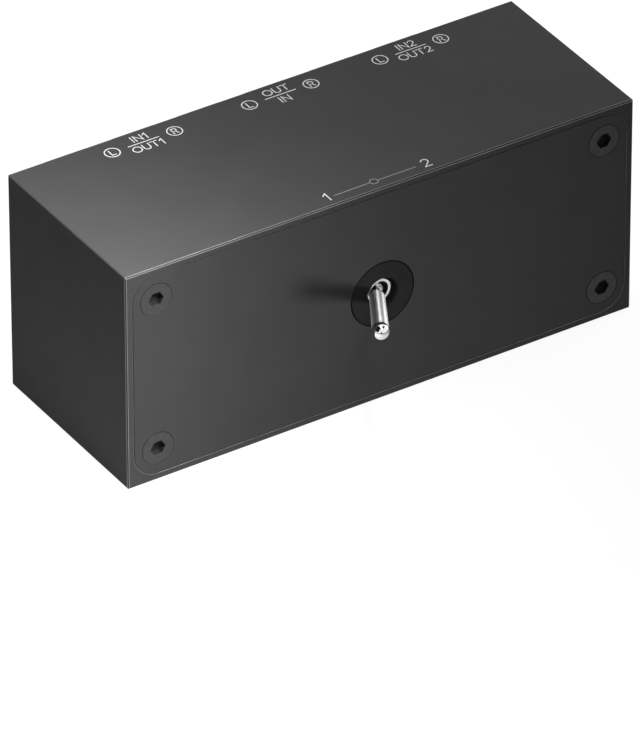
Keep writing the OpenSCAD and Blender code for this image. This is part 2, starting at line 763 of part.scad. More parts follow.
enclosure_sleeve();
front_panel();
rear_panel();
front_screws();
rear_screws();
switch_bezel();
switch_bushing();
lock_washer();
back_nut();
switch_frame();
switch_body();
switch_pins();
toggle_lever();
toggle_pin();
detent_plunger();
detent_spring();
circuit_board();
solder_joints();
terminal_block();
terminal_back_plate();
upper_hinge_rod();
lower_hinge_rod();
upper_contact_strips();
lower_contact_strips();
red_lever_springs();
black_lever_springs();
red_lever(0);  // red_lever_1
red_lever(1);  // red_lever_2
red_lever(2);  // red_lever_3
red_lever(3);  // red_lever_4
red_lever(4);  // red_lever_5
red_lever(5);  // red_lever_6
black_lever(0);  // black_lever_1
black_lever(1);  // black_lever_2
black_lever(2);  // black_lever_3
black_lever(3);  // black_lever_4
black_lever(4);  // black_lever_5
black_lever(5);  // black_lever_6
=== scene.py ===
"""Speaker selector switch: black anodised box with a chrome toggle, white printed legends and a
block of twelve spring terminals. The sizes of the turned pieces and of the legends, and lengths
named _mm or _MM, are millimetres. Other lengths are metres, and angles are degrees."""
import math

import bmesh
import bpy
import numpy as np
from mathutils import Matrix, Vector


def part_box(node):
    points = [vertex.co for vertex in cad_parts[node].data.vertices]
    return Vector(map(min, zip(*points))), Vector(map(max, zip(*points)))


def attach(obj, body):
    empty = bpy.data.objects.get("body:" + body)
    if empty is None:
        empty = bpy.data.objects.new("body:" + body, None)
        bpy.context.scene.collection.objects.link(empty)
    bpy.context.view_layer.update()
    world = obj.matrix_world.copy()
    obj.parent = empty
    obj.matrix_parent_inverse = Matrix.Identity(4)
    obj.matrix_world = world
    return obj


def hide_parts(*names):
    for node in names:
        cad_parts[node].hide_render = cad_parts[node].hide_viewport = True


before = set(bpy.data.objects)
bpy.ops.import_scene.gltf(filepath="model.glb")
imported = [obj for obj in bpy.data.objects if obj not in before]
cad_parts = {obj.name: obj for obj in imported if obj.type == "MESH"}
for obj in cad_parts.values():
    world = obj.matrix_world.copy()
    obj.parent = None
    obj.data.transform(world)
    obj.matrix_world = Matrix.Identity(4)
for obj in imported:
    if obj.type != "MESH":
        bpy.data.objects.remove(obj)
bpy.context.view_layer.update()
MM = 0.001
CASE = "case"                               # the body that every fixed piece rides on
COLUMNS = range(1, 7)                       # of the block, each with a red and a black lever


def new_object(name, data):
    """Makes an object and links it to the scene."""
    made = bpy.data.objects.new(name, data)
    bpy.context.scene.collection.objects.link(made)
    return made


# ---------- shader helpers ----------

def linear(hex_colour):
    """Linear RGBA of an sRGB hex colour."""
    channels = [int(hex_colour[i:i + 2], 16) / 255 for i in (1, 3, 5)]
    return tuple(c / 12.92 if c <= 0.04045 else ((c + 0.055) / 1.055) ** 2.4 for c in channels) + (1.0,)


def add(tree, kind, inputs=None, **settings):
    """Adds one node with its settings; inputs gives each socket a value or another node's output."""
    made = tree.nodes.new(kind)
    for name, value in settings.items():
        setattr(made, name, value)
    for name, value in (inputs or {}).items():
        if isinstance(value, bpy.types.NodeSocket):
            tree.links.new(value, made.inputs[name])
        else:
            made.inputs[name].default_value = value
    return made


def new_material(name, specular=None, **constants):
    """A material with one Principled shader, whose plain sockets are set by name."""
    material = bpy.data.materials.new(name)
    material.use_nodes = True
    tree = material.node_tree
    tree.nodes.clear()
    shader = add(tree, "ShaderNodeBsdfPrincipled", inputs=constants)
    if specular is not None:
        shader.inputs["Specular IOR Level"].default_value = specular
    add(tree, "ShaderNodeOutputMaterial", inputs={"Surface": shader.outputs[0]})
    return material, tree, shader


def object_noise(tree, size_mm, detail=2.0, roughness=0.5):
    """Noise whose grains are size_mm across on the object."""
    place = add(tree, "ShaderNodeTexCoord")
    return add(tree, "ShaderNodeTexNoise", inputs={
        "Vector": place.outputs["Object"], "Scale": 1.0 / (size_mm * MM),
        "Detail": detail, "Roughness": roughness}).outputs["Fac"]


def vary(tree, noise, low, high):
    """Maps a noise's useful middle range, 0.3 to 0.7, to low..high."""
    return add(tree, "ShaderNodeMapRange", inputs={
        "Value": noise, "From Min": 0.3, "From Max": 0.7, "To Min": low, "To Max": high}).outputs[0]


def set_colour(tree, shader, noise, dark, light):
    """Mixes two shades of the base colour by a noise."""
    shades = add(tree, "ShaderNodeMix", data_type="RGBA", inputs={
        0: vary(tree, noise, 0.0, 1.0), 6: linear(dark), 7: linear(light)})
    tree.links.new(shades.outputs[2], shader.inputs["Base Color"])


def set_roughness(tree, shader, noise, low, high):
    """Lets the roughness run from low to high with a noise."""
    tree.links.new(vary(tree, noise, low, high), shader.inputs["Roughness"])


def set_bump(tree, shader, height, depth_mm):
    """Bumps the shader's normal by a height of depth_mm."""
    bump = add(tree, "ShaderNodeBump", inputs={"Height": height, "Distance": depth_mm * MM})
    tree.links.new(bump.outputs["Normal"], shader.inputs["Normal"])


def background_ray(tree):
    """1 on the rays with which the camera, metal and glass see the background, or else 0."""
    path = add(tree, "ShaderNodeLightPath")
    seen = add(tree, "ShaderNodeMath", operation="MAXIMUM", inputs={
        0: path.outputs["Is Camera Ray"], 1: path.outputs["Is Glossy Ray"]})
    return add(tree, "ShaderNodeMath", operation="MAXIMUM", inputs={
        0: seen.outputs[0], 1: path.outputs["Is Transmission Ray"]}).outputs[0]


# ---------- camera ----------

CAMERA_MM = (-791.35, -1238.2, 993.97)      # where the photograph's upper view was taken from
CAMERA_AZIMUTH = -32.566
CAMERA_ELEVATION = 34.196
CAMERA_ROLL = -0.109
FOCAL_PIXELS = 10527.0                      # focal length in pixels of the 640 x 736 frame
FRAME_HEIGHT = 736.0
SENSOR_HEIGHT_MM = 24.0


def add_camera():
    """Looks from the photograph's azimuth and elevation, with the lens that its perspective gives."""
    turn, lift, roll = (math.radians(a) for a in (CAMERA_AZIMUTH, CAMERA_ELEVATION, CAMERA_ROLL))
    back = Vector((math.sin(turn) * math.cos(lift), -math.cos(turn) * math.cos(lift), math.sin(lift)))
    right = Vector((math.cos(turn), math.sin(turn), 0.0))
    up = back.cross(right)
    axes = (right * math.cos(roll) + up * math.sin(roll),
            up * math.cos(roll) - right * math.sin(roll), back)
    data = bpy.data.cameras.new("camera")
    data.sensor_fit = "VERTICAL"
    data.sensor_height = SENSOR_HEIGHT_MM
    data.lens = FOCAL_PIXELS / FRAME_HEIGHT * SENSOR_HEIGHT_MM
    data.clip_start = 0.05
    data.clip_end = 20.0
    camera = new_object("camera", data)
    camera.matrix_world = Matrix.Translation(Vector(CAMERA_MM) * MM) @ Matrix(axes).transposed().to_4x4()
    bpy.context.scene.camera = camera


# ---------- lamps and surroundings ----------

# Each softbox has its place, its aim, its side, its watts and the spread of its grid in degrees. The
# keys aim past the left end, so that their light fades to the right. The front's one stands low and
# shines up through the paper, as on a shooting table.
SOFTBOXES = {
    "top_key": ((-0.02, -0.06, 0.29), (-0.085, -0.04, 0.04), 0.08, 0.075, 40.0),
    "front_key": ((0.213, -0.262, -0.137), (-0.115, -0.0185, 0.02), 0.09, 0.066, 46.0),
    "left_kicker": ((-0.03, -0.16, 0.22), (-0.085, -0.02, 0.02), 0.04, 0.044, 36.0),
    "rear_key": ((-0.10, 0.66, 0.36), (0.0, 0.0, 0.02), 0.24, 5.2, 180.0),
    "right_fill": ((0.70, 0.05, 0.22), (0.0, 0.0, 0.02), 0.30, 2.0, 180.0),
}
ROOM_LIGHT = 0.1                            # strength at which the white surroundings light the box


def add_softboxes():
    """Square studio lamps that the camera doesn't see."""
    for name, (place, aim, side, watts, spread) in SOFTBOXES.items():
        data = bpy.data.lights.new(name, "AREA")
        data.shape = "SQUARE"
        data.size = side
        data.energy = watts
        data.spread = math.radians(spread)
        lamp = new_object(name, data)
        lamp.location = place
        lamp.rotation_euler = (Vector(aim) - Vector(place)).to_track_quat("-Z", "Y").to_euler()
        lamp.visible_camera = False


def add_surroundings():
    """White all round to the camera, metal and glass, and a faint even light to anything else."""
    world = bpy.data.worlds.new("studio")
    bpy.context.scene.world = world
    world.use_nodes = True
    tree = world.node_tree
    tree.nodes.clear()
    strength = add(tree, "ShaderNodeMapRange", inputs={
        "Value": background_ray(tree), "To Min": ROOM_LIGHT, "To Max": 1.0})
    background = add(tree, "ShaderNodeBackground", inputs={
        "Color": linear("#ffffff"), "Strength": strength.outputs[0]})
    add(tree, "ShaderNodeOutputWorld", inputs={"Surface": background.outputs[0]})


# ---------- paper and flags ----------

PAPER_SIDE = 6.0
PAPER_DROP_MM = 0.05                        # the paper lies this far under the box
PAPER_GLOW = 0.93                           # as the camera sees the paper, where 1 is white
# a painted pool of light on the paper, which only glossy faces see
POOL_CENTRE_MM = (-45.0, -45.0, 0.0)        # glossy faces see the paper brightest round here,
POOL_RADIUS_MM = 22.0                       # as far out as this,
POOL_REACH_MM = 95.0                        # and fading from there to this reach,
POOL_EDGE = 0.25                            # where this share of the glow is left

# Each flag, a black card, has its turn about the line of sight, its angle from it, width and length.
FLAGS = ((150.0, 42.0, 0.34, 0.26), (52.0, 50.0, 0.08, 0.28), (-70.0, 50.0, 0.09, 0.28))
FLAG_CENTRE = (-0.006, -0.028, 0.021)       # near the lever's tip, which the flags face
FLAG_DISTANCE = 0.25


def backdrop_paper():
    """Matt paper. The camera sees it white, darkened where the box shades it. Glossy faces see a painted
    pool of light on it, white before the left end and fading away from there."""
    material, tree, shader = new_material("backdrop_paper", specular=0.0, Roughness=0.95)
    set_colour(tree, shader, object_noise(tree, 40.0), "#7c7c7c", "#808080")
    shader.inputs["Emission Color"].default_value = linear("#ffffff")
    place = add(tree, "ShaderNodeTexCoord")
    reach = add(tree, "ShaderNodeVectorMath", operation="DISTANCE", inputs={
        0: place.outputs["Object"], 1: Vector(POOL_CENTRE_MM) * MM})
    # the painted pool of light: brightest round its centre, fading out to its reach
    pool = add(tree, "ShaderNodeMapRange", inputs={
        "Value": reach.outputs["Value"], "From Min": POOL_RADIUS_MM * MM, "From Max": POOL_REACH_MM * MM,
        "To Min": PAPER_GLOW, "To Max": PAPER_GLOW * POOL_EDGE})
    path = add(tree, "ShaderNodeLightPath")
    level = add(tree, "ShaderNodeMapRange", inputs={
        "Value": path.outputs["Is Glossy Ray"], "To Min": PAPER_GLOW, "To Max": pool.outputs[0]})
    glow = add(tree, "ShaderNodeMath", operation="MULTIPLY", inputs={
        0: background_ray(tree), 1: level.outputs[0]})
    tree.links.new(glow.outputs[0], shader.inputs["Emission Strength"])
    return material


def black_flock():
    """Flocked card, which throws back next to nothing."""
    material, _, shader = new_material("black_flock", Roughness=1.0)
    shader.inputs["Base Color"].default_value = linear("#050505")
    return material


def stage_sheet(name, corners, material):
    """A flat sheet between four corners, with a material."""
    mesh = bpy.data.meshes.new(name)
    mesh.from_pydata(corners, [], [(0, 1, 2, 3)])
    mesh.materials.append(material)
    sheet = new_object(name, mesh)
    return sheet


def add_paper():
    """A pale sheet on which the box stands, far larger than the view. It lets the front key through."""
    half = PAPER_SIDE / 2
    corners = [(-half, -half, 0), (half, -half, 0), (half, half, 0), (-half, half, 0)]
    paper = stage_sheet("floor", corners, backdrop_paper())
    paper.location.z = -PAPER_DROP_MM * MM
    paper.visible_shadow = False


def add_flags():
    """Black cards between the white windows that the chrome shows. Only reflections see them. A flag
    faces the lever's tip, and its length points at the camera's line of sight."""
    right, up, back = bpy.context.scene.camera.matrix_world.to_3x3().transposed()
    black = black_flock()
    for i, (turn, angle, width, length) in enumerate(FLAGS):
        turn, angle = math.radians(turn), math.radians(angle)
        side = right * math.cos(turn) + up * math.sin(turn)
        out = back * math.cos(angle) + side * math.sin(angle)
        along = side * math.cos(angle) - back * math.sin(angle)
        across = out.cross(along)
        middle = Vector(FLAG_CENTRE) + out * FLAG_DISTANCE
        corners = [middle + across * width * u / 2 + along * length * v / 2
                   for u, v in ((-1, -1), (1, -1), (1, 1), (-1, 1))]
        flag = stage_sheet(f"flag_{i}", corners, black)
        for kind in ("camera", "diffuse", "transmission", "shadow"):
            setattr(flag, "visible_" + kind, False)


# ---------- the switch's materials ----------

def anodised_aluminium():
    """Extruded aluminium, bead blasted and anodised black: a satin skin with a very fine grain.
    The blasting pits of about 0.05 mm are drawn 0.16 mm wide so that they show."""
    material, tree, shader = new_material("anodised_aluminium", specular=0.04, Metallic=0.0, IOR=1.5)
    set_colour(tree, shader, object_noise(tree, 9.0, 4.0), "#444445", "#474748")
    set_roughness(tree, shader, object_noise(tree, 5.0, 5.0), 0.42, 0.49)
    set_bump(tree, shader, object_noise(tree, 0.16, 3.0), 0.004)
    return material


def anodised_plate():
    """Cut aluminium plate with the same black anodising, a little smoother than the sleeve."""
    material, tree, shader = new_material("anodised_plate", specular=0.04, Metallic=0.0, IOR=1.5)
    set_colour(tree, shader, object_noise(tree, 9.0, 4.0), "#434344", "#464646")
    set_roughness(tree, shader, object_noise(tree, 6.0, 5.0), 0.36, 0.42)
    set_bump(tree, shader, object_noise(tree, 0.14, 3.0), 0.003)
    return material


def painted_edge_highlight():
    """The sleeve's eased edges, painted a lighter grey with a metallic sheen: a painted highlight along
    the edges.
    """
    material, tree, shader = new_material("painted_edge_highlight", Metallic=0.35, IOR=1.5)
    set_colour(tree, shader, object_noise(tree, 4.0, 4.0), "#8a8a8b", "#98989a")
    set_roughness(tree, shader, object_noise(tree, 1.5, 4.0), 0.34, 0.44)
    return material


def black_oxide():
    """Steel screws, turned and blackened in a hot salt bath: dark, smooth and faintly oily."""
    material, tree, shader = new_material("black_oxide", specular=0.08, Metallic=0.15, IOR=1.5)
    set_colour(tree, shader, object_noise(tree, 0.8, 4.0), "#3c3c3d", "#454546")
    set_roughness(tree, shader, object_noise(tree, 0.5, 4.0), 0.40, 0.50)
    set_bump(tree, shader, object_noise(tree, 0.2, 3.0), 0.004)
    return material


def bezel_lacquer():
    """Turned brass ring with a flat black lacquer, darker than the anodising round it."""
    material, tree, shader = new_material("bezel_lacquer", specular=0.03, Metallic=0.0, IOR=1.45)
    set_colour(tree, shader, object_noise(tree, 2.0, 4.0), "#2a2a2b", "#2e2e2f")
    set_roughness(tree, shader, object_noise(tree, 1.2, 4.0), 0.44, 0.52)
    set_bump(tree, shader, object_noise(tree, 0.12, 3.0), 0.003)
    return material


def chrome_plate():
    """Bright chrome on polished brass, with hardly any roughness: it mirrors the studio."""
    material, tree, shader = new_material("chrome_plate", Metallic=1.0)
    set_colour(tree, shader, object_noise(tree, 1.5), "#e4e4e6", "#efeff1")
    set_roughness(tree, shader, object_noise(tree, 0.7, 3.0), 0.05, 0.10)
    return material


def satin_chrome(axis):
    """The lever's shaft: the same plating over the fine rings that the lathe left round it, which
    draw its lights out into streaks along the axis."""
    material, tree, shader = new_material("satin_chrome", Metallic=1.0, Anisotropic=0.9)
    set_colour(tree, shader, object_noise(tree, 1.5), "#e0e0e2", "#ececee")
    set_roughness(tree, shader, object_noise(tree, 0.7, 3.0), 0.42, 0.46)
    along = add(tree, "ShaderNodeVectorTransform", vector_type="VECTOR", convert_from="OBJECT",
                convert_to="WORLD", inputs={"Vector": axis})
    tree.links.new(along.outputs[0], shader.inputs["Tangent"])
    return material


def plated_steel():
    """Zinc-plated and spring steel inside the switch and the block: grey, drawn, half bright."""
    material, tree, shader = new_material("plated_steel", Metallic=1.0)
    set_colour(tree, shader, object_noise(tree, 1.2, 4.0), "#94969a", "#b0b2b6")
    set_roughness(tree, shader, object_noise(tree, 0.4, 4.0), 0.25, 0.42)
    set_bump(tree, shader, object_noise(tree, 0.15, 3.0), 0.004)
    return material


def matt_tin():
    """Electroplated matt tin on the contact strips: a fine white frost over the metal."""
    material, tree, shader = new_material("matt_tin", Metallic=0.3, IOR=1.5)
    set_colour(tree, shader, object_noise(tree, 0.8, 4.0), "#e6e3dc", "#f4f2ee")
    set_roughness(tree, shader, object_noise(tree, 0.5, 4.0), 0.38, 0.52)
    return material


def tinned_brass():
    """Bright tin on brass pins and their solder, soft and slightly cloudy."""
    material, tree, shader = new_material("tinned_brass", Metallic=1.0)
    set_colour(tree, shader, object_noise(tree, 0.8, 4.0), "#d6d4cf", "#ecebe8")
    set_roughness(tree, shader, object_noise(tree, 0.5, 4.0), 0.18, 0.34)
    set_bump(tree, shader, object_noise(tree, 0.25, 3.0), 0.004)
    return material


def moulded_abs(name, shades, roughness, specular):
    """Injection-moulded ABS with a fine spark-eroded grain of about 0.1 mm, drawn 0.14 mm wide. The
    levers come from a more polished mould than the block, and catch sharper lights."""
    material, tree, shader = new_material(name, specular=specular, Metallic=0.0, IOR=1.54)
    set_colour(tree, shader, object_noise(tree, 3.0, 4.0), *shades)
    set_roughness(tree, shader, object_noise(tree, 2.0, 5.0), *roughness)
    set_bump(tree, shader, object_noise(tree, 0.14, 3.0), 0.004)
    return material


def phenolic_resin():
    """Dark red-brown pressed phenolic with a mottled filler."""
    material, tree, shader = new_material("phenolic_resin", Metallic=0.0, IOR=1.6)
    set_colour(tree, shader, object_noise(tree, 0.6, 5.0, 0.7), "#3c1512", "#5b221c")
    set_roughness(tree, shader, object_noise(tree, 0.5, 4.0), 0.35, 0.5)
    return material


def board_laminate():
    """Green solder mask over woven glass laminate; the weave of 0.6 mm shows through."""
    material, tree, shader = new_material("board_laminate", Metallic=0.0, IOR=1.5, Roughness=0.3)
    set_colour(tree, shader, object_noise(tree, 0.6, 2.0), "#0f4a2c", "#16593a")
    set_bump(tree, shader, object_noise(tree, 0.6, 2.0), 0.01)
    return material


def fibre_board():
    """Vulcanised fibre, brown-black, with short matted fibres."""
    material, tree, shader = new_material("fibre_board", Metallic=0.0, IOR=1.5)
    set_colour(tree, shader, object_noise(tree, 0.5, 6.0, 0.7), "#2a241f", "#3b332b")
    set_roughness(tree, shader, object_noise(tree, 0.4, 5.0), 0.6, 0.8)
    set_bump(tree, shader, object_noise(tree, 0.3, 5.0), 0.01)
    return material


def printing_ink(name, dark, light):
    """Screen-printed ink, matt, a little uneven where the mesh of the screen lets less through."""
    material, tree, shader = new_material(name, Metallic=0.0, IOR=1.45, Roughness=0.6)
    set_colour(tree, shader, object_noise(tree, 0.35, 3.0), dark, light)
    return material


# ---------- mesh helpers ----------

WELD = 1e-7                                 # points of a new mesh that are this near are merged
CAD_WELD = 0.5e-6                           # the same on a copy of a CAD node's mesh,
FLAT_ANGLE = 0.5                            # whose triangles become one face up to this angle
EASE_ANGLE = 32.0                           # edges sharper than this are eased
EASE_SEGMENTS = 2
FACE_WEIGHT = 80                            # how far the large faces rule the shading of the eased edges
TURNED_ANGLE = 40.0                         # edges of a turned piece sharper than this stay sharp


def new_piece(name, mesh, material, body, replaced=()):
    """Links a mesh whose place is in its vertices, attaches it to the body that it rides on, and hides
    the CAD nodes that it stands for.
    """
    piece = new_object(name, mesh)
    mesh.materials.clear()
    mesh.materials.append(material)
    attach(piece, body)
    if replaced:
        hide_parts(*replaced)
    return piece


def welded_mesh(name, points_mm, faces, turn_outwards=False):
    """A mesh of an array of points, with the ones that coincide merged."""
    mesh = bpy.data.meshes.new(name)
    mesh.from_pydata((points_mm.reshape(-1, 3) * MM).tolist(), [], faces.tolist())
    work = bmesh.new()
    work.from_mesh(mesh)
    bmesh.ops.remove_doubles(work, verts=work.verts, dist=WELD)
    if turn_outwards:
        bmesh.ops.recalc_face_normals(work, faces=work.faces)
    work.to_mesh(mesh)
    work.free()
    return mesh


def merged_copy(node):
    """A CAD node's mesh with its loose triangles merged and its flat faces made whole."""
    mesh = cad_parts[node].data.copy()
    work = bmesh.new()
    work.from_mesh(mesh)
    bmesh.ops.remove_doubles(work, verts=work.verts, dist=CAD_WELD)
    bmesh.ops.dissolve_limit(work, angle_limit=math.radians(FLAT_ANGLE), verts=work.verts,
                             edges=work.edges, use_dissolve_boundaries=False)
    work.to_mesh(mesh)
    work.free()
    return mesh


def shade_smooth(mesh, angle):
    """Shades a mesh smooth, apart from its edges that are sharper than the angle."""
    mesh.polygons.foreach_set("use_smooth", np.ones(len(mesh.polygons), bool))
    mesh.set_sharp_from_angle(angle=math.radians(angle))


def ease_edges(piece, width_mm, edge_highlight=None):
    """Rounds the piece's edges, as moulding, tumbling or anodising leaves them. A second material, where
    given, goes on the rounding and paints a highlight along the edges."""
    shade_smooth(piece.data, EASE_ANGLE)
    bevel = piece.modifiers.new("eased_edges", "BEVEL")
    bevel.width = width_mm * MM
    bevel.segments = EASE_SEGMENTS
    bevel.limit_method = "ANGLE"
    bevel.angle_limit = math.radians(EASE_ANGLE)
    bevel.use_clamp_overlap = True
    bevel.miter_outer = "MITER_ARC"
    # the rounding may take a second, lighter material: a painted highlight along the edges
    if edge_highlight:
        piece.data.materials.append(edge_highlight)
        bevel.material = 1
    shade = piece.modifiers.new("even_shading", "WEIGHTED_NORMAL")
    shade.keep_sharp = True
    shade.weight = FACE_WEIGHT


def eased_copy(node, material, body, width_mm, edge_highlight=None):
    """A CAD node with its edges eased, in place of the node."""
    piece = new_piece(node + "_eased", merged_copy(node), material, body, (node,))
    ease_edges(piece, width_mm, edge_highlight)


def arc(centre, radius, start, end, count):
    """Points on an arc: centre + radius * (cos a, sin a), with a from start to end in equal steps."""
    angle = np.radians(np.linspace(start, end, count))
    return np.stack([centre[0] + radius * np.cos(angle), centre[1] + radius * np.sin(angle)], 1)


def revolve(profile_mm, centre_mm, axis, sides=96):
    """Mesh of a profile of (radius, height) points turned about an axis through centre_mm: the
    point at angle a is centre + height * axis + radius * (cos a * side + sin a * other side)."""
    axis = np.array(axis, float) / np.linalg.norm(axis)
    side = np.cross(axis, (0.0, 0.0, 1.0))
    side /= np.linalg.norm(side)
    other = np.cross(axis, side)
    radius, height = np.array(profile_mm, float).T[:, :, None, None]
    angle = np.linspace(0.0, 2.0 * np.pi, sides, endpoint=False)[:, None]
    ring = np.cos(angle) * side + np.sin(angle) * other
    points = np.array(centre_mm, float) + height * axis + radius * ring
    row = np.arange(len(points) * sides).reshape(-1, sides)
    turned = np.roll(row, -1, axis=1)
    quads = np.stack([row[:-1], turned[:-1], turned[1:], row[1:]], -1).reshape(-1, 4)
    mesh = welded_mesh("turned", points, quads, turn_outwards=True)
    shade_smooth(mesh, TURNED_ANGLE)
    return mesh


# ---------- printed legends ----------

INK_THICK_MM = 0.015
STROKE_MM = 0.2                             # width of the names' strokes
THIN_STROKE_MM = 0.15                       # width of the scale's strokes
MITRE_LIMIT = 0.4                           # keeps the mitre of a sharp corner short


def ribbon(line, width_mm, z_mm):
    """Points and faces of a flat ribbon of ink along a polyline. Its two edges are the line moved
    along the mean normal at each point, by half the width over the cosine of half the corner's turn.
    Each edge is there twice, at z_mm and at the ink's top. Open ends are square, and half the width
    longer."""
    line = np.array(line, float)
    step = np.diff(line, axis=0)
    step /= np.linalg.norm(step, axis=1)[:, None]
    closed = np.allclose(line[0], line[-1])
    before = np.vstack([step[-1] if closed else step[0], step])
    after = np.vstack([step, step[0] if closed else step[-1]])
    mean = before + after
    mean /= np.linalg.norm(mean, axis=1)[:, None]
    normal = np.stack([-mean[:, 1], mean[:, 0]], 1)
    reach = width_mm / 2 / np.maximum(np.sum(mean * before, 1), MITRE_LIMIT)[:, None]
    if not closed:
        line[0] -= step[0] * width_mm / 2
        line[-1] += step[-1] * width_mm / 2
    left, right = line + normal * reach, line - normal * reach
    edges = np.stack([left, left, right, right])
    height = z_mm + np.array([0.0, INK_THICK_MM, 0.0, INK_THICK_MM])
    points = np.dstack([edges, np.broadcast_to(height[:, None], edges.shape[:2])]).reshape(-1, 3)
    low_left, top_left, low_right, top_right = np.arange(len(points)).reshape(4, -1)
    sides = ((top_right, top_left), (low_left, low_right), (top_left, low_left), (low_right, top_right))
    faces = [np.stack([a[:-1], a[1:], b[1:], b[:-1]], 1) for a, b in sides]
    if not closed:
        faces.append([(low_left[0], low_right[0], top_right[0], top_left[0]),
                      (top_left[-1], top_right[-1], low_right[-1], low_left[-1])])
    return points, np.vstack(faces)


def printed_mesh(strokes, width_mm, z_mm):
    """One mesh of the ribbons along all the strokes."""
    ribbons = [ribbon(line, width_mm, z_mm) for line in strokes]
    first = np.cumsum([0] + [len(points) for points, _ in ribbons])
    return welded_mesh("print", np.vstack([points for points, _ in ribbons]),
                       np.vstack([faces + start for (_, faces), start in zip(ribbons, first)]))


def letter(char):
    """Width and strokes of one letter or number, in a cell that is 1 high."""
    bowl = arc((0.36, 0.36), 0.36, 180, 360, 17)
    glyphs = {
        "I": (0.1, [[(0.02, 0), (0.02, 1)]]),
        "N": (0.78, [[(0, 0), (0, 1), (0.78, 0), (0.78, 1)]]),
        "T": (0.76, [[(0, 1), (0.76, 1)], [(0.38, 0), (0.38, 1)]]),
        "L": (0.5, [[(0, 1), (0, 0), (0.5, 0)]]),
        "U": (0.72, [np.vstack([[(0, 1)], bowl, [(0.72, 1)]])]),
        "O": (0.98, [arc((0.49, 0.5), 0.49, 0, 360, 41)]),
        "R": (0.6, [np.vstack([[(0, 0), (0, 1)], arc((0.32, 0.73), 0.27, 90, -90, 15), [(0, 0.46)]]),
                    [(0.3, 0.46), (0.6, 0)]]),
        "1": (0.3, [[(0, 0.74), (0.3, 1), (0.3, 0)]]),
        "2": (0.62, [np.vstack([arc((0.31, 0.7), 0.3, 160, -35, 17), [(0, 0), (0.62, 0)]])]),
    }
    return glyphs[char]


def word(text, centre, height, gap=0.26):
    """Strokes of a word of that cap height, centred on a point; gap is a share of the height."""
    letters = [letter(char) for char in text]
    x = -(sum(width for width, _ in letters) + gap * (len(text) - 1)) / 2
    strokes = []
    for width, lines in letters:
        strokes += [np.array(centre) + (np.array(line, float) + (x, -0.5)) * height for line in lines]
        x += width + gap
    return strokes


def channel_names(corner):
    """For each pair of channels, its name over a rule over its other name, between a ringed L and a
    ringed R. Their middles lie in one row near the rear edge."""
    row, columns = 33.2, ((24.15, "IN1", "OUT1"), (51.1, "OUT", "IN"), (77.05, "IN2", "OUT2"))
    name_height, name_rise, half_rule = 1.62, 1.5, 2.95
    ring_place, ring_radius, ring_letter = 6.1, 1.33, 1.45
    strokes = []
    for x, above, below in columns:
        middle = corner + (x, row)
        strokes += word(above, middle + (0.0, name_rise), name_height)
        strokes += word(below, middle - (0.0, name_rise), name_height)
        strokes.append([middle - (half_rule, 0.0), middle + (half_rule, 0.0)])
        for place, side in ((-ring_place, "L"), (ring_place, "R")):
            strokes.append(arc(middle + (place, 0.0), ring_radius, 0, 360, 49))
            strokes += word(side, middle + (place, 0.0), ring_letter)
    return strokes


def lever_scale(corner):
    """The strokes of the scale over the lever, a ring between two lines, and of its two numbers."""
    ring, ring_radius = corner + (49.8, 2.4), 0.72
    line_left, line_right = corner + (42.0, 2.35), corner + (58.0, 2.35)
    one, two, number_height = corner + (40.6, 2.6), corner + (60.1, 2.5), 2.1
    scale = [[line_left, ring - (ring_radius, 0.0)], [ring + (ring_radius, 0.0), line_right],
             arc(ring, ring_radius, 0, 360, 33)]
    return scale, word("1", one, number_height) + word("2", two, number_height)


def print_legends(white, grey):
    """Ink on the sleeve's top. Places are measured from its front left corner."""
    low, high = np.array(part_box("enclosure_sleeve")) / MM
    scale, numbers = lever_scale(low[:2])
    names = channel_names(low[:2]) + numbers
    new_piece("legend_names", printed_mesh(names, STROKE_MM, high[2]), white, CASE)
    new_piece("legend_scale", printed_mesh(scale, THIN_STROKE_MM, high[2]), grey, CASE)


# ---------- toggle ----------

TOGGLE_PIVOT_MM = (0.0, -16.55, 21.0)       # middle of the cross pin
TOGGLE_LEAN = 29.5                          # to the left, where the lever rests at position 1
TOGGLE_LENGTH_MM = 12.75                    # from the pin to the middle of the tip's ball
RIM_FACE_MM = (0.0, -17.6, 21.0)            # middle of the bushing's rim


def toggle_lever(polished):
    """The bat, turned in one piece: a tail with a small ball, the pivot's ball, and a neck that
    swells into the shaft on half a cosine wave. The shaft widens evenly to meet the tip's circle.
    Polishing leaves the lathe's rings on the shaft alone."""
    lean = math.radians(TOGGLE_LEAN)
    out = (-math.sin(lean), -math.cos(lean), 0.0)
    tip, shaft, root, neck, pivot, tail, tail_ball = 1.525, 1.44, 1.32, 0.9, 1.15, 0.55, 0.65
    tail_ball_at, tail_at, neck_end, root_end, taper_start = -1.9, -1.2, 1.8, 2.9, 3.2
    meet = math.degrees(math.acos(shaft / tip))
    shaft_end = TOGGLE_LENGTH_MM - math.sqrt(tip ** 2 - shaft ** 2)
    swell = np.linspace(0.0, np.pi, 12)
    profile = np.vstack([
        arc((0.0, tail_ball_at), tail_ball, -90, 30, 14),
        [(tail, tail_at)],
        arc((0.0, 0.0), pivot, -60, 38, 16),
        np.stack([neck + (root - neck) * (1 - np.cos(swell)) / 2,
                  neck_end + (root_end - neck_end) * swell / np.pi], 1),
        np.stack([np.linspace(root + 0.01, shaft, 10), np.linspace(taper_start, shaft_end, 10)], 1),
        arc((0.0, TOGGLE_LENGTH_MM), tip, -meet, 90, 36)])
    profile[:, 0] = np.maximum(profile[:, 0], 0.0)
    bat = new_piece("toggle_bat", revolve(profile, TOGGLE_PIVOT_MM, out), polished, "toggle",
                    ("toggle_lever",))
    bat.data.materials.append(satin_chrome(out))
    faces = bat.data.polygons
    middles = np.empty(3 * len(faces))
    faces.foreach_get("center", middles)
    along = (middles.reshape(-1, 3) / MM - TOGGLE_PIVOT_MM) @ out
    faces.foreach_set("material_index", ((along > neck_end) & (along < shaft_end)).astype(np.int32))


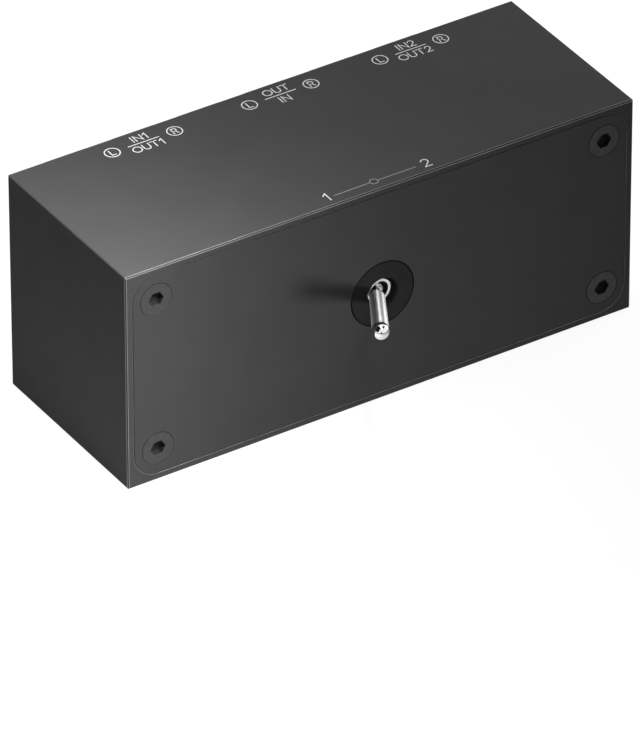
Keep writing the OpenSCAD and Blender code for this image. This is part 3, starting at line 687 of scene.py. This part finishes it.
def switch_rim(material):
    """The bushing, turned: a bright rim with rounded edges, a shoulder that the bezel covers, the
    barrel and its foot. Heights run from the rim's face inwards."""
    mouth, rim, rounding, bore, shoulder, barrel, foot = 1.75, 2.38, 0.16, 2.0, 2.8, 3.0, 4.2
    mouth_end, rim_end, shoulder_end, foot_start, foot_end = -0.6, -1.3, -1.5, -8.1, -8.9
    profile = np.vstack([
        [(bore, foot_end), (bore, mouth_end), (mouth, mouth_end), (mouth, -rounding)],
        arc((mouth + rounding, -rounding), rounding, 180, 90, 6),
        arc((rim - rounding, -rounding), rounding, 90, 0, 6),
        [(rim, rim_end), (shoulder, rim_end), (barrel, shoulder_end), (barrel, foot_start),
         (foot, foot_start), (foot, foot_end), (bore, foot_end)]])
    mesh = revolve(profile, RIM_FACE_MM, (0.0, -1.0, 0.0))
    new_piece("switch_rim", mesh, material, CASE, ("switch_bushing",))


# ---------- the object ----------

SLEEVE_EASE_MM = 0.19                       # widths of the eased edges
CUT_EASE_MM = 0.12
BEZEL_EASE_MM = 0.14
LEVER_EASE_MM = 0.05


def dress_inside(chrome, black):
    """Gives the pieces inside their finishes."""
    steel, tin, strips = plated_steel(), tinned_brass(), matt_tin()
    finishes = {
        "lock_washer": steel, "switch_frame": steel, "toggle_pin": steel, "detent_spring": steel,
        "upper_hinge_rod": steel, "lower_hinge_rod": steel, "red_lever_springs": steel,
        "black_lever_springs": steel, "back_nut": chrome, "switch_body": phenolic_resin(),
        "detent_plunger": black, "switch_pins": tin, "solder_joints": tin,
        "upper_contact_strips": strips, "lower_contact_strips": strips,
        "circuit_board": board_laminate(), "terminal_back_plate": fibre_board()}
    for node, material in finishes.items():
        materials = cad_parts[node].data.materials
        materials.clear()
        materials.append(material)


def dress_box():
    """Puts eased copies in place of the sleeve, the panels and their screws."""
    plate, oxide = anodised_plate(), black_oxide()
    # the sleeve's eased edges take a lighter material: a painted highlight
    eased_copy("enclosure_sleeve", anodised_aluminium(), CASE, SLEEVE_EASE_MM,
               painted_edge_highlight())
    for node in ("front_panel", "rear_panel"):
        eased_copy(node, plate, CASE, CUT_EASE_MM)
    for node in ("front_screws", "rear_screws"):
        eased_copy(node, oxide, CASE, CUT_EASE_MM)
    eased_copy("switch_bezel", bezel_lacquer(), CASE, BEZEL_EASE_MM)


def dress_terminals(black):
    """Puts eased copies in place of the block and its twelve levers."""
    black_lever = moulded_abs("black_lever_abs", ("#3a3a3b", "#3e3e3f"), (0.25, 0.32), 0.8)
    red_lever = moulded_abs("red_abs", ("#b02130", "#b82534"), (0.24, 0.31), 0.75)
    eased_copy("terminal_block", black, CASE, CUT_EASE_MM)
    for i in COLUMNS:
        eased_copy(f"red_lever_{i}", red_lever, f"red_{i}", LEVER_EASE_MM)
        eased_copy(f"black_lever_{i}", black_lever, f"black_{i}", LEVER_EASE_MM)


def dress_frame():
    """Gives every CAD node its finish, and adds the turned and the printed pieces."""
    chrome = chrome_plate()
    black = moulded_abs("black_abs", ("#424242", "#464646"), (0.38, 0.46), 0.2)
    dress_inside(chrome, black)
    dress_box()
    dress_terminals(black)
    toggle_lever(chrome)
    switch_rim(chrome)
    print_legends(printing_ink("white_ink", "#dedede", "#eeeeee"),
                  printing_ink("grey_ink", "#8c8c8c", "#9a9a9a"))


add_camera()
add_softboxes()
add_surroundings()
add_paper()
add_flags()
dress_frame()
bpy.context.scene.view_settings.view_transform = "Standard"
